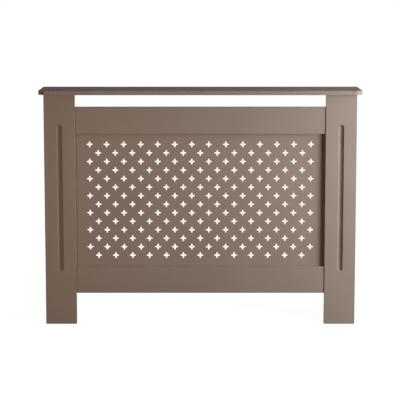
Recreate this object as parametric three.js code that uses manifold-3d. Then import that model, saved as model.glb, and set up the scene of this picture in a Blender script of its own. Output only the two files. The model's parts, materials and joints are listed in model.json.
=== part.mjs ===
// Radiator cover cabinet in painted MDF. Two fluted posts with side boards
// behind them carry a shelf, and two rails between the posts hold a thin
// panel pierced with staggered crosses. Eccentric cams, dowels and screws
// hold it together, and two steel angles tie it to the wall.
//
// Millimetres. +X is to the right, +Y towards the wall and +Z up. The origin
// is on the floor, under the middle of the shelf.

import * as THREE from 'three';
import { mergeVertices } from 'three/addons/utils/BufferGeometryUtils.js';
import Module from 'manifold-3d';

const wasm = await Module();
wasm.setup();

// ---- Driving dimensions ----

// Shelf
const SHELF_WIDTH = 1115;
const SHELF_DEPTH = 190;
const SHELF_THICKNESS = 15;
const SHELF_CORNER_CUT = 22;
const SIDE_OVERHANG = 17.5;
const FRONT_OVERHANG = 17.5;

// Posts and side boards
const FRAME_HEIGHT = 805;
const POST_WIDTH = 107.5;
const POST_THICKNESS = 18;
const SIDE_THICKNESS = 15;
const SKIRTING_HEIGHT = 120;
const SKIRTING_DEPTH = 20;
const EDGE_EASING = 1.2;

// Flute: a round-nosed groove, its ends measured from the shelf and the floor
const FLUTE_RADIUS = 10;
const FLUTE_DEPTH = 9;
const FLUTE_BELOW_SHELF = 104;
const FLUTE_ABOVE_FLOOR = 188;

// Rails
const RAIL_HEIGHT = 94;
const RAIL_THICKNESS = 15;
const WARM_AIR_SLOT = 42;
const FLOOR_GAP = 110;

// Grille panel and its crosses. The margins are the least distance from the
// edge of the window to a cross's centre.
const GRILLE_THICKNESS = 3;
const GRILLE_LAP_ON_RAIL = 25;
const GRILLE_LAP_ON_POST = 15;
const CROSS_SPAN = 21.8;
const CROSS_ROOT_WIDTH = 6;
const CROSS_TIP_WIDTH = 3.8;
const CROSS_PITCH = 59;
const ROW_PITCH = 30;
const CROSS_SIDE_MARGIN = 40;
const CROSS_END_MARGIN = 30;

// Eccentric cam. The setback runs from its axis to the joint that it closes.
const CAM_RADIUS = 7.2;
const CAM_LENGTH = 12;
const CAM_SETBACK = 24;
const CAM_CAP_THICKNESS = 2.7;
const CAM_CAVITY_RADIUS = 4.9;
const CAM_THROW = 0.9;
const CAM_RECESS_LENGTH = 8;
const CAM_RECESS_WIDTH = 1.6;
const CAM_RECESS_DEPTH = 1.6;
const RAIL_CAM_OFFSET = 22;
const SHELF_CAM_INSET = 35;

// Cam bolt
const BOLT_HEAD_RADIUS = 3;
const BOLT_HEAD_LENGTH = 3;
const BOLT_NECK_RADIUS = 2;
const BOLT_COLLAR_RADIUS = 3.5;
const BOLT_COLLAR_LENGTH = 1.5;
const BOLT_THREAD_RADIUS = 2.9;
const BOLT_THREAD_LENGTH = 11;
const BOLT_TIP_LENGTH = 1.5;

// Dowels
const DOWEL_RADIUS = 4;
const DOWEL_LENGTH = 30;
const DOWEL_IN_FACE = 11;
const SIDE_DOWEL_COUNT = 3;
const SIDE_DOWEL_INSET = 90;

// Pan-head screws, of one size throughout
const SCREW_RADIUS = 1.75;
const SCREW_LENGTH = 12;
const SCREW_TIP_LENGTH = 2.5;
const SCREW_HEAD_RADIUS = 3.6;
const SCREW_HEAD_HEIGHT = 2.2;
const GRILLE_SCREWS_PER_RAIL = 4;
const GRILLE_SCREW_INSET = 40;

// Wall brackets
const BRACKET_HEIGHT = 640;
const BRACKET_LEG = 40;
const BRACKET_WIDTH = 16;
const BRACKET_THICKNESS = 2;
const BRACKET_HOLE_NEAR = 14;
const BRACKET_HOLE_FAR = 30;

// Gap left round a fixing in its hole
const CLEARANCE = 0.3;

// Facets round a circle
const BORE_SIDES = 8;
const FIXING_SIDES = 8;
const CAM_SIDES = 12;
const FLUTE_SIDES = 20;

// ---- Places worked out from the dimensions ----

const WALL = SHELF_DEPTH / 2;
const OUTER_SIDE = SHELF_WIDTH / 2 - SIDE_OVERHANG;
const INNER_SIDE = OUTER_SIDE - SIDE_THICKNESS;
const MID_SIDE = OUTER_SIDE - SIDE_THICKNESS / 2;
const POST_FRONT = FRONT_OVERHANG - SHELF_DEPTH / 2;
const POST_BACK = POST_FRONT + POST_THICKNESS;
const POST_CENTRE = OUTER_SIDE - POST_WIDTH / 2;
const HALF_WINDOW = OUTER_SIDE - POST_WIDTH;
const RAIL_MID_DEPTH = POST_BACK - RAIL_THICKNESS / 2;
const TOP_RAIL_Z = FRAME_HEIGHT - WARM_AIR_SLOT - RAIL_HEIGHT / 2;
const BOTTOM_RAIL_Z = FLOOR_GAP + RAIL_HEIGHT / 2;
const WINDOW_TOP = TOP_RAIL_Z - RAIL_HEIGHT / 2;
const WINDOW_BOTTOM = BOTTOM_RAIL_Z + RAIL_HEIGHT / 2;

const RIGHT = new THREE.Vector3(1, 0, 0);
const LEFT = new THREE.Vector3(-1, 0, 0);
const BACK = new THREE.Vector3(0, 1, 0);
const FRONT = new THREE.Vector3(0, -1, 0);
const UP = new THREE.Vector3(0, 0, 1);
const DOWN = new THREE.Vector3(0, 0, -1);

const HANDS = [
  { hand: 'left', sign: -1, outward: LEFT, inward: RIGHT },
  { hand: 'right', sign: 1, outward: RIGHT, inward: LEFT },
];

// ---- Finishes ----

const PAINTED_BOARD = new THREE.MeshStandardMaterial({ color: 0x8a796c, roughness: 0.45, metalness: 0 });
const BEECH = new THREE.MeshStandardMaterial({ color: 0xc8a878, roughness: 0.7, metalness: 0 });
const CAST_ZINC = new THREE.MeshStandardMaterial({ color: 0x9b9da0, roughness: 0.5, metalness: 0.9 });
const PLATED_STEEL = new THREE.MeshStandardMaterial({ color: 0xb9bbbd, roughness: 0.3, metalness: 1 });

// ---- Solids ----

// A closed solid from a geometry: corners joined, collapsed triangles dropped.
function solid(geometry) {
  const bare = geometry.clone();
  bare.deleteAttribute('normal');
  bare.deleteAttribute('uv');
  const joined = mergeVertices(bare, 1e-4);
  const corners = joined.getIndex().array;
  const kept = [];
  for (let i = 0; i < corners.length; i += 3) {
    const [a, b, c] = [corners[i], corners[i + 1], corners[i + 2]];
    if (a !== b && b !== c && c !== a) kept.push(a, b, c);
  }
  return new wasm.Manifold(new wasm.Mesh({
    numProp: 3,
    vertProperties: new Float32Array(joined.getAttribute('position').array),
    triVerts: new Uint32Array(kept),
  }));
}

function meshOf(name, shape, material) {
  const { vertProperties, triVerts } = shape.getMesh();
  const geometry = new THREE.BufferGeometry();
  geometry.setAttribute('position', new THREE.BufferAttribute(vertProperties, 3));
  geometry.setIndex(new THREE.BufferAttribute(triVerts, 1));
  geometry.computeVertexNormals();
  const mesh = new THREE.Mesh(geometry, material);
  mesh.name = name;
  return mesh;
}

function point(x, y, z) {
  return new THREE.Vector3(x, y, z);
}

// Puts a piece's own origin at a place, its X along x and its Z along z.
function placed(place, x, z) {
  const y = new THREE.Vector3().crossVectors(z, x);
  return new THREE.Matrix4().makeBasis(x, y, z).setPosition(place);
}

// The same for a round piece, whose turn about its own Z doesn't matter.
function aimed(place, z) {
  return placed(place, z.x === 0 ? RIGHT : UP, z);
}

function block(lowX, highX, lowY, highY, lowZ, highZ) {
  const geometry = new THREE.BoxGeometry(highX - lowX, highY - lowY, highZ - lowZ);
  return geometry.translate((lowX + highX) / 2, (lowY + highY) / 2, (lowZ + highZ) / 2);
}

// A turned piece along its own Z, from [radius, z] pairs.
function turned(profile, sides) {
  const points = profile.map(([radius, z]) => new THREE.Vector2(radius, z));
  return new THREE.LatheGeometry(points, sides).rotateX(Math.PI / 2);
}

function rod(radius, start, end, sides) {
  return turned([[0, start], [radius, start], [radius, end], [0, end]], sides);
}

// A hole's cutter, whose flats lie on the circle and not inside it.
function bore(radius, start, end, sides) {
  return rod(radius / Math.cos(Math.PI / sides), start, end, sides);
}

// A board cut to an outline, with all its long edges eased.
function easedBoard(outline, thickness) {
  const shape = new THREE.Shape(outline.map(([x, y]) => new THREE.Vector2(x, y)));
  const geometry = new THREE.ExtrudeGeometry(shape, {
    depth: thickness - 2 * EDGE_EASING,
    bevelThickness: EDGE_EASING,
    bevelSize: EDGE_EASING,
    bevelOffset: -EDGE_EASING,
    bevelSegments: 1,
  });
  return geometry.translate(0, 0, EDGE_EASING);
}

function rectangle(width, height) {
  return [[-width / 2, -height / 2], [width / 2, -height / 2], [width / 2, height / 2], [-width / 2, height / 2]];
}

// ---- Fixings: each one drills the boards that it passes through ----

const pieces = [];
const holes = {};

function drill(board, geometry, frame) {
  holes[board] ??= [];
  holes[board].push(solid(geometry.clone().applyMatrix4(frame)));
}

function addPiece(name, shape, material) {
  pieces.push(meshOf(name, shape, material));
}

// The bolt's head sits in the cam's cavity, just clear of the wall that pulls it.
const BOLT_SEAT = Math.sqrt(CAM_CAVITY_RADIUS ** 2 - BOLT_HEAD_RADIUS ** 2) - CAM_THROW - CLEARANCE;

// Along Z, from the cam's axis at zero to the bolt's point in the other board.
function camBolt() {
  const headStart = BOLT_SEAT - BOLT_HEAD_LENGTH;
  const shoulder = BOLT_SEAT - (BOLT_HEAD_RADIUS - BOLT_NECK_RADIUS);
  const collarEnd = CAM_SETBACK - CLEARANCE;
  const tip = CAM_SETBACK + BOLT_THREAD_LENGTH;
  return turned([
    [0, headStart],
    [BOLT_HEAD_RADIUS, headStart],
    [BOLT_HEAD_RADIUS, shoulder],
    [BOLT_NECK_RADIUS, BOLT_SEAT],
    [BOLT_NECK_RADIUS, collarEnd - BOLT_COLLAR_LENGTH],
    [BOLT_COLLAR_RADIUS, collarEnd - BOLT_COLLAR_LENGTH],
    [BOLT_COLLAR_RADIUS, collarEnd],
    [BOLT_THREAD_RADIUS, collarEnd],
    [BOLT_THREAD_RADIUS, tip - BOLT_TIP_LENGTH],
    [0, tip],
  ], FIXING_SIDES);
}

// The drum's cap is at zero and faces +Z. The bolt comes in along +X. The
// cavity is off centre, so half a turn brings its near wall onto the head. The
// slot lets the neck pass meanwhile, and the round mouth lets the head in.
function camDrum(boltDepth) {
  const reach = CAM_RADIUS + 1;
  const slot = BOLT_NECK_RADIUS + CLEARANCE;
  const mouth = bore(BOLT_HEAD_RADIUS + CLEARANCE, 0, reach, FIXING_SIDES);
  const recessHalf = CAM_RECESS_LENGTH / 2;
  const recessSide = CAM_RECESS_WIDTH / 2;
  const cavity = bore(CAM_CAVITY_RADIUS, -CAM_LENGTH - 1, -CAM_CAP_THICKNESS, CAM_SIDES);
  return solid(rod(CAM_RADIUS, -CAM_LENGTH, 0, CAM_SIDES))
    .subtract(solid(cavity.translate(-CAM_THROW, 0, 0)))
    .subtract(solid(block(-reach, reach, -reach, slot, -boltDepth - slot, -boltDepth + slot)))
    .subtract(solid(mouth.applyMatrix4(placed(point(0, 0, -boltDepth), UP, LEFT))))
    .subtract(solid(block(-recessHalf, recessHalf, -recessSide, recessSide, -CAM_RECESS_DEPTH, 1)))
    .subtract(solid(block(-recessSide, recessSide, -recessHalf, recessHalf, -CAM_RECESS_DEPTH, 1)));
}

// A cam in the face of one board draws up a bolt that is screwed into another.
function camJoint(name, { host, mate, thickness, face, along, out }) {
  const depth = thickness / 2;
  const camFrame = placed(face, along, out);
  const boltFrame = placed(face.clone().addScaledVector(out, -depth), out, along);
  drill(host, bore(CAM_RADIUS + CLEARANCE, -CAM_LENGTH - CLEARANCE, 1, CAM_SIDES), camFrame);
  drill(host, bore(BOLT_COLLAR_RADIUS + CLEARANCE, 0, CAM_SETBACK + 1, BORE_SIDES), boltFrame);
  const threadEnd = CAM_SETBACK + BOLT_THREAD_LENGTH + CLEARANCE;
  drill(mate, bore(BOLT_THREAD_RADIUS + CLEARANCE, CAM_SETBACK - 1, threadEnd, BORE_SIDES), boltFrame);
  addPiece(`${name}_cam`, camDrum(depth).transform(camFrame.elements), CAST_ZINC);
  addPiece(`${name}_cam_bolt`, solid(camBolt().applyMatrix4(boltFrame)), PLATED_STEEL);
}

// A dowel across a joint: `deep` is its length in the second board.
function dowelJoint(name, { first, second, joint, along, deep }) {
  const frame = aimed(joint, along);
  const start = deep - DOWEL_LENGTH;
  const hole = bore(DOWEL_RADIUS + CLEARANCE, start - CLEARANCE, deep + CLEARANCE, BORE_SIDES);
  drill(first, hole, frame);
  drill(second, hole, frame);
  addPiece(`${name}_dowel`, solid(rod(DOWEL_RADIUS, start, deep, FIXING_SIDES).applyMatrix4(frame)), BEECH);
}

// A screw clamps a thin piece, from its outer face, to the board behind it.
function screw(name, { thin, board, face, out }) {
  const frame = aimed(face, out);
  const hole = bore(SCREW_RADIUS + CLEARANCE, -SCREW_LENGTH - CLEARANCE, 1, BORE_SIDES);
  drill(thin, hole, frame);
  drill(board, hole, frame);
  const shape = turned([
    [0, -SCREW_LENGTH],
    [SCREW_RADIUS, SCREW_TIP_LENGTH - SCREW_LENGTH],
    [SCREW_RADIUS, 0],
    [SCREW_HEAD_RADIUS, 0],
    [SCREW_HEAD_RADIUS, SCREW_HEAD_HEIGHT / 2],
    [SCREW_HEAD_RADIUS / 2, SCREW_HEAD_HEIGHT],
    [0, SCREW_HEAD_HEIGHT],
  ], FIXING_SIDES);
  addPiece(`${name}_screw`, solid(shape.applyMatrix4(frame)), PLATED_STEEL);
}

// Evenly spaced values from low to high.
function spread(count, low, high) {
  return Array.from({ length: count }, (_, i) => low + (high - low) * (count > 1 ? i / (count - 1) : 0.5));
}

// Rail ends: a cam and a dowel in each, the dowel on the window's side.
const RAILS = [
  { rail: 'top', z: TOP_RAIL_Z, away: 1 },
  { rail: 'bottom', z: BOTTOM_RAIL_Z, away: -1 },
];
for (const { rail, z, away } of RAILS) {
  for (const { hand, sign, outward } of HANDS) {
    const camX = sign * (HALF_WINDOW - CAM_SETBACK);
    camJoint(`${rail}_rail_${hand}`, {
      host: `${rail}_rail`,
      mate: `${hand}_post`,
      thickness: RAIL_THICKNESS,
      face: point(camX, POST_BACK, z + away * RAIL_CAM_OFFSET),
      along: outward,
      out: BACK,
    });
    dowelJoint(`${rail}_rail_${hand}`, {
      first: `${rail}_rail`,
      second: `${hand}_post`,
      joint: point(sign * HALF_WINDOW, RAIL_MID_DEPTH, z - away * RAIL_CAM_OFFSET),
      along: outward,
      deep: DOWEL_LENGTH / 2,
    });
  }
}

// Shelf: two cams and a dowel in the top of each side, and a dowel in each post.
for (const { hand, sign, inward } of HANDS) {
  const camPlaces = { front: POST_BACK + SHELF_CAM_INSET, rear: WALL - SHELF_CAM_INSET };
  for (const [end, y] of Object.entries(camPlaces)) {
    camJoint(`shelf_${hand}_${end}`, {
      host: `${hand}_side`,
      mate: 'top_shelf',
      thickness: SIDE_THICKNESS,
      face: point(sign * INNER_SIDE, y, FRAME_HEIGHT - CAM_SETBACK),
      along: UP,
      out: inward,
    });
  }
  dowelJoint(`shelf_${hand}_side`, {
    first: 'top_shelf',
    second: `${hand}_side`,
    joint: point(sign * MID_SIDE, (POST_BACK + WALL) / 2, FRAME_HEIGHT),
    along: DOWN,
    deep: DOWEL_LENGTH - DOWEL_IN_FACE,
  });
  dowelJoint(`shelf_${hand}_post`, {
    first: 'top_shelf',
    second: `${hand}_post`,
    joint: point(sign * POST_CENTRE, (POST_FRONT + POST_BACK) / 2, FRAME_HEIGHT),
    along: DOWN,
    deep: DOWEL_LENGTH - DOWEL_IN_FACE,
  });
}

// Sides: glued and dowelled to the backs of the posts.
for (const { hand, sign } of HANDS) {
  const heights = spread(SIDE_DOWEL_COUNT, SIDE_DOWEL_INSET, FRAME_HEIGHT - SIDE_DOWEL_INSET);
  heights.forEach((z, i) => {
    dowelJoint(`${hand}_side_${i + 1}`, {
      first: `${hand}_post`,
      second: `${hand}_side`,
      joint: point(sign * MID_SIDE, POST_BACK, z),
      along: BACK,
      deep: DOWEL_LENGTH - DOWEL_IN_FACE,
    });
  });
}

// Grille: screwed to the backs of both rails.
for (const { rail, z, away } of RAILS) {
  const screwReach = HALF_WINDOW - GRILLE_SCREW_INSET;
  const screwZ = z - away * (RAIL_HEIGHT - GRILLE_LAP_ON_RAIL) / 2;
  spread(GRILLE_SCREWS_PER_RAIL, -screwReach, screwReach).forEach((x, i) => {
    screw(`grille_${rail}_${i + 1}`, {
      thin: 'grille_panel',
      board: `${rail}_rail`,
      face: point(x, POST_BACK + GRILLE_THICKNESS, screwZ),
      out: BACK,
    });
  });
}

// Wall brackets: steel angles screwed to the insides of the sides, flush with
// their rear edges, and drilled for two more screws into the wall.
const BRACKET_OUTLINE = [
  [0, 0],
  [-BRACKET_LEG, 0],
  [-BRACKET_LEG, -BRACKET_THICKNESS],
  [-BRACKET_THICKNESS, -BRACKET_THICKNESS],
  [-BRACKET_THICKNESS, -BRACKET_LEG],
  [0, -BRACKET_LEG],
];
const BRACKET_SHAPE = new THREE.Shape(BRACKET_OUTLINE.map(([x, y]) => new THREE.Vector2(x, y)));

for (const { hand, sign, inward } of HANDS) {
  const name = `${hand}_wall_bracket`;
  for (const [end, inset] of Object.entries({ rear: BRACKET_HOLE_NEAR, front: BRACKET_HOLE_FAR })) {
    screw(`${hand}_bracket_${end}`, {
      thin: name,
      board: `${hand}_side`,
      face: point(sign * (INNER_SIDE - BRACKET_THICKNESS), WALL - inset, BRACKET_HEIGHT),
      out: inward,
    });
    const wallHole = bore(SCREW_RADIUS + CLEARANCE, -BRACKET_THICKNESS - 1, 1, BORE_SIDES);
    drill(name, wallHole, aimed(point(sign * (INNER_SIDE - inset), WALL, BRACKET_HEIGHT), BACK));
  }
  const strip = new THREE.ExtrudeGeometry(BRACKET_SHAPE, { depth: BRACKET_WIDTH, bevelEnabled: false });
  const corner = point(sign * INNER_SIDE, WALL, BRACKET_HEIGHT - BRACKET_WIDTH / 2);
  strip.applyMatrix4(placed(corner, sign > 0 ? RIGHT : BACK, UP));
  addPiece(name, cutHoles(name, solid(strip)), PLATED_STEEL);
}

// ---- Boards ----

function cutHoles(name, board) {
  const drilled = holes[name] ?? [];
  return drilled.reduce((rest, hole) => rest.subtract(hole), board);
}

function addBoard(name, geometry, ...more) {
  const shaped = more.reduce((rest, cutter) => rest.subtract(solid(cutter)), solid(geometry));
  addPiece(name, cutHoles(name, shaped), PAINTED_BOARD);
}

const SHELF_OUTLINE = [
  [SHELF_WIDTH / 2, SHELF_DEPTH / 2],
  [-SHELF_WIDTH / 2, SHELF_DEPTH / 2],
  [-SHELF_WIDTH / 2, SHELF_CORNER_CUT - SHELF_DEPTH / 2],
  [SHELF_CORNER_CUT - SHELF_WIDTH / 2, -SHELF_DEPTH / 2],
  [SHELF_WIDTH / 2 - SHELF_CORNER_CUT, -SHELF_DEPTH / 2],
  [SHELF_WIDTH / 2, SHELF_CORNER_CUT - SHELF_DEPTH / 2],
];
const shelf = easedBoard(SHELF_OUTLINE, SHELF_THICKNESS);
addBoard('top_shelf', shelf.applyMatrix4(placed(point(0, 0, FRAME_HEIGHT), RIGHT, UP)));

// The flute is the path of a round-nosed cutter: a capsule sunk in the face.
function flute(x) {
  const noseAboveFace = FLUTE_RADIUS - FLUTE_DEPTH;
  const endReach = Math.sqrt(FLUTE_RADIUS ** 2 - noseAboveFace ** 2);
  const low = FLUTE_ABOVE_FLOOR + endReach;
  const high = FRAME_HEIGHT - FLUTE_BELOW_SHELF - endReach;
  const path = new THREE.CapsuleGeometry(FLUTE_RADIUS, high - low, FLUTE_SIDES / 4, FLUTE_SIDES);
  return path.rotateX(Math.PI / 2).translate(x, POST_FRONT - noseAboveFace, (low + high) / 2);
}

for (const { hand, sign } of HANDS) {
  const x = sign * POST_CENTRE;
  const post = easedBoard(rectangle(POST_WIDTH, FRAME_HEIGHT), POST_THICKNESS);
  post.applyMatrix4(placed(point(x, POST_BACK, FRAME_HEIGHT / 2), RIGHT, FRONT));
  addBoard(`${hand}_post`, post, flute(x));
}

const SIDE_OUTLINE = [
  [POST_BACK, 0],
  [WALL - SKIRTING_DEPTH, 0],
  [WALL - SKIRTING_DEPTH, SKIRTING_HEIGHT],
  [WALL, SKIRTING_HEIGHT],
  [WALL, FRAME_HEIGHT],
  [POST_BACK, FRAME_HEIGHT],
];
for (const { hand, sign } of HANDS) {
  const side = easedBoard(SIDE_OUTLINE, SIDE_THICKNESS);
  const leftFace = sign * MID_SIDE - SIDE_THICKNESS / 2;
  addBoard(`${hand}_side`, side.applyMatrix4(placed(point(leftFace, 0, 0), BACK, RIGHT)));
}

for (const { rail, z } of RAILS) {
  const board = easedBoard(rectangle(2 * HALF_WINDOW, RAIL_HEIGHT), RAIL_THICKNESS);
  addBoard(`${rail}_rail`, board.applyMatrix4(placed(point(0, POST_BACK, z), RIGHT, FRONT)));
}

// ---- Grille panel ----

// Four tapered arms with blunt tips, as a closed path round a centre.
function crossPath(x, z) {
  const tip = CROSS_SPAN / 2;
  const tipSide = CROSS_TIP_WIDTH / 2;
  const root = CROSS_ROOT_WIDTH / 2;
  const arm = [[tip, -tipSide], [tip, tipSide], [root, root]];
  const centre = new THREE.Vector2(x, z);
  const corners = [0, 1, 2, 3].flatMap((quarter) => arm.map(([along, across]) => {
    const corner = new THREE.Vector2(x + along, z + across);
    return corner.rotateAround(centre, quarter * Math.PI / 2);
  }));
  return new THREE.Path(corners);
}

// Rows of crosses, every other row moved along by half a pitch.
function crossCentres() {
  const windowHeight = WINDOW_TOP - WINDOW_BOTTOM;
  const rows = Math.floor((windowHeight - 2 * CROSS_END_MARGIN) / ROW_PITCH) + 1;
  const fullRow = Math.floor((2 * HALF_WINDOW - 2 * CROSS_SIDE_MARGIN) / CROSS_PITCH) + 1;
  const centres = [];
  for (let row = 0; row < rows; row += 1) {
    const z = (WINDOW_TOP + WINDOW_BOTTOM) / 2 + ((rows - 1) / 2 - row) * ROW_PITCH;
    const count = row % 2 === 0 ? fullRow : fullRow - 1;
    for (let i = 0; i < count; i += 1) centres.push([(i - (count - 1) / 2) * CROSS_PITCH, z]);
  }
  return centres;
}

const grilleHalfWidth = HALF_WINDOW + GRILLE_LAP_ON_POST;
const grilleLow = WINDOW_BOTTOM - GRILLE_LAP_ON_RAIL;
const grilleHigh = WINDOW_TOP + GRILLE_LAP_ON_RAIL;
const grilleShape = new THREE.Shape([
  new THREE.Vector2(-grilleHalfWidth, grilleLow),
  new THREE.Vector2(grilleHalfWidth, grilleLow),
  new THREE.Vector2(grilleHalfWidth, grilleHigh),
  new THREE.Vector2(-grilleHalfWidth, grilleHigh),
]);
grilleShape.holes = crossCentres().map(([x, z]) => crossPath(x, z));
const grille = new THREE.ExtrudeGeometry(grilleShape, { depth: GRILLE_THICKNESS, bevelEnabled: false });
addBoard('grille_panel', grille.applyMatrix4(placed(point(0, POST_BACK + GRILLE_THICKNESS, 0), RIGHT, FRONT)));

const cabinet = new THREE.Group();
cabinet.add(...pieces);

export default cabinet;
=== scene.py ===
"""Radiator cover cabinet in painted MDF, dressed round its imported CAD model.

Metres, in the CAD's own frame: +X to the right, +Y towards the wall, +Z up. The sections follow the
cabinet as it is put together: posts, sides, rails, grille, shelf, then the fixings and the studio.
"""

import json
import math

import bmesh
import bpy
from mathutils import Matrix, Vector


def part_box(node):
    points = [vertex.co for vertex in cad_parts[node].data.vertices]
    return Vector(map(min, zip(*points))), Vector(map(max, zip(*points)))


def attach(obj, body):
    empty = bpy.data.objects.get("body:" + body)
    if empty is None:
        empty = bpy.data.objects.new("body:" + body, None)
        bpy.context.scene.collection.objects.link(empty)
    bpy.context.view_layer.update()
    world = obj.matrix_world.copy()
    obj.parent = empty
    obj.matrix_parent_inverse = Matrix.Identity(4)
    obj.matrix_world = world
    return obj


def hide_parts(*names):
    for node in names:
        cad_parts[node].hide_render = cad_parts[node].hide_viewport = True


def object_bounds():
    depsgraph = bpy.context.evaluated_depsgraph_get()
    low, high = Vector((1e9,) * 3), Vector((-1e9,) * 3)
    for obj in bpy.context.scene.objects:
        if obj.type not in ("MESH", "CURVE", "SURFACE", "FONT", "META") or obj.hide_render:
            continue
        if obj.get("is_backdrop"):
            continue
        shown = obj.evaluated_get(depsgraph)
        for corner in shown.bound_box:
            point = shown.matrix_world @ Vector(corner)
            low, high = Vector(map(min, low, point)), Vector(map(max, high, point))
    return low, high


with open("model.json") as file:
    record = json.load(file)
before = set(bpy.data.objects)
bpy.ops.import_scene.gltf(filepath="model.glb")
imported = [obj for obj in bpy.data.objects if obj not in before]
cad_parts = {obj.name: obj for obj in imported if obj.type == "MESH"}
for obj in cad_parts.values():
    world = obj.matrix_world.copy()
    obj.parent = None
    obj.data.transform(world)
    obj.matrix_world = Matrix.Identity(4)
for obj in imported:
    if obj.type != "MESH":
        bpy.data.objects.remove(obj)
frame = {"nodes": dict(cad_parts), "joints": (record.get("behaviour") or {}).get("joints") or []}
cad_low, cad_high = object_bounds()


# ---- Posts ----
# Two upright boards of 18 mm MDF, sprayed with satin cabinet paint. Each has one long flute down its
# middle, cut with a round-nosed router bit, and its edges are sanded round before it is painted.

BOARD_EDGE_RADIUS = 0.0015
BOARD_EDGE_STEPS = 3
FLUTE_RADIUS = 0.010
FLUTE_DEPTH = 0.009
FLUTE_FROM_SHELF = 0.104
FLUTE_FROM_FLOOR = 0.188
FLUTE_RIM_RADIUS = 0.0005
FLUTE_STEPS = 64
RIM_ANGLE = math.radians(50)
RIM_STEPS = 2
SMOOTH_ANGLE = math.radians(35)
SLIVER = 0.0000005
DRILL_STEPS = 32
DRILL_CLEARANCE = 0.0003
DRILL_OVERRUN = 0.002
BOLT_COLLAR_RADIUS = 0.0035
PAINT_COLOUR = (0.216, 0.163, 0.129, 1)
PAINT_COLOUR_THIN = (0.230, 0.175, 0.140, 1)
PAINT_GLOSS = 0.08
PAINT_ROUGHNESS = (0.70, 0.80)
PAINT_CLOUDS = 5.0
ORANGE_PEEL = 650.0
ORANGE_PEEL_HEIGHT = 0.00012
MDF_FIBRE = 2600.0
MDF_FIBRE_HEIGHT = 0.00004


def add_node(tree, kind, inputs=None, **settings):
    """A node with its settings, each input given as a value or as the socket to link it from."""
    node = tree.nodes.new(kind)
    for setting, value in settings.items():
        setattr(node, setting, value)
    for key, value in (inputs or {}).items():
        if isinstance(value, bpy.types.NodeSocket):
            tree.links.new(value, node.inputs[key])
        else:
            node.inputs[key].default_value = value
    return node


def new_material(name):
    """A material with only its output node, and that node."""
    material = bpy.data.materials.new(name)
    material.use_nodes = True
    material.node_tree.nodes.clear()
    return material, add_node(material.node_tree, "ShaderNodeOutputMaterial")


def ramp(tree, factor, stops):
    """A colour ramp over a factor, from (position, colour) stops."""
    node = add_node(tree, "ShaderNodeValToRGB", {"Fac": factor})
    node.color_ramp.elements[0].position, node.color_ramp.elements[0].color = stops[0]
    node.color_ramp.elements[1].position, node.color_ramp.elements[1].color = stops[-1]
    for position, colour in stops[1:-1]:
        node.color_ramp.elements.new(position).color = colour
    return node.outputs["Color"]


def grey(level):
    return (level, level, level, 1)


def roughness_spots(tree, factor, roughness):
    """A roughness that wanders between two values with a noise."""
    smooth, rough = roughness
    return ramp(tree, factor, [(0.3, grey(smooth)), (0.7, grey(rough))])


def noise(tree, place, scale, detail, roughness=0.5):
    """A noise between 0 and 1. Its scale is in waves to the metre."""
    return add_node(tree, "ShaderNodeTexNoise", {
        "Vector": place, "Scale": scale, "Detail": detail, "Roughness": roughness,
    }).outputs["Fac"]


def bump(tree, height, strength, distance, **under):
    """The normal of a surface raised by a height, on top of another Normal where one is given."""
    return add_node(tree, "ShaderNodeBump", {
        "Height": height, "Strength": strength, "Distance": distance, **under,
    }).outputs["Normal"]


def cabinet_paint():
    """Satin paint sprayed on sealed MDF: a faint cloudiness in the colour, and fine orange peel."""
    material, output = new_material("satin cabinet paint")
    tree = material.node_tree
    place = add_node(tree, "ShaderNodeTexCoord").outputs["Object"]
    clouds = noise(tree, place, PAINT_CLOUDS, 4.0, 0.6)
    peel = noise(tree, place, ORANGE_PEEL, 2.0)
    fine = bump(tree, noise(tree, place, MDF_FIBRE, 3.0), 0.15, MDF_FIBRE_HEIGHT)
    paint = add_node(tree, "ShaderNodeBsdfPrincipled", {
        "Base Color": ramp(tree, clouds, [(0.35, PAINT_COLOUR), (0.68, PAINT_COLOUR_THIN)]),
        "Roughness": roughness_spots(tree, peel, PAINT_ROUGHNESS),
        "Normal": bump(tree, peel, 0.25, ORANGE_PEEL_HEIGHT, Normal=fine),
        "Specular IOR Level": PAINT_GLOSS,
    })
    tree.links.new(paint.outputs["BSDF"], output.inputs["Surface"])
    return material


PAINT = cabinet_paint()


def working_object(name, shape):
    """A bmesh as an object in the scene, its faces turned outwards."""
    bmesh.ops.recalc_face_normals(shape, faces=shape.faces)
    mesh = bpy.data.meshes.new(name)
    shape.to_mesh(mesh)
    shape.free()
    made = bpy.data.objects.new(name, mesh)
    bpy.context.scene.collection.objects.link(made)
    return made


def round_edges(shape, edges, radius, steps):
    bmesh.ops.bevel(
        shape, geom=edges, offset=radius, segments=steps, profile=0.5, affect="EDGES", clamp_overlap=True,
    )


def board(name, outline, low, high, stand, is_rounder=None, rounder_radius=0.0):
    """A board with sanded edges, from its outline and the two depths it runs between.

    stand puts (along, up, deep) in the frame, and is_rounder picks the edges that get rounder_radius.
    """
    shape = bmesh.new()
    near = [shape.verts.new(stand(along, up, low)) for along, up in outline]
    far = [shape.verts.new(stand(along, up, high)) for along, up in outline]
    shape.faces.new(near)
    shape.faces.new(far)
    for i in range(len(outline)):
        shape.faces.new((near[i - 1], near[i], far[i], far[i - 1]))
    bmesh.ops.recalc_face_normals(shape, faces=shape.faces)
    if is_rounder:
        rounder = [edge for edge in shape.edges if is_rounder(edge)]
        round_edges(shape, rounder, rounder_radius, BOARD_EDGE_STEPS)
    crisp = [edge for edge in shape.edges if edge.calc_face_angle() > RIM_ANGLE]
    round_edges(shape, crisp, BOARD_EDGE_RADIUS, BOARD_EDGE_STEPS)
    return working_object(name, shape)


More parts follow.
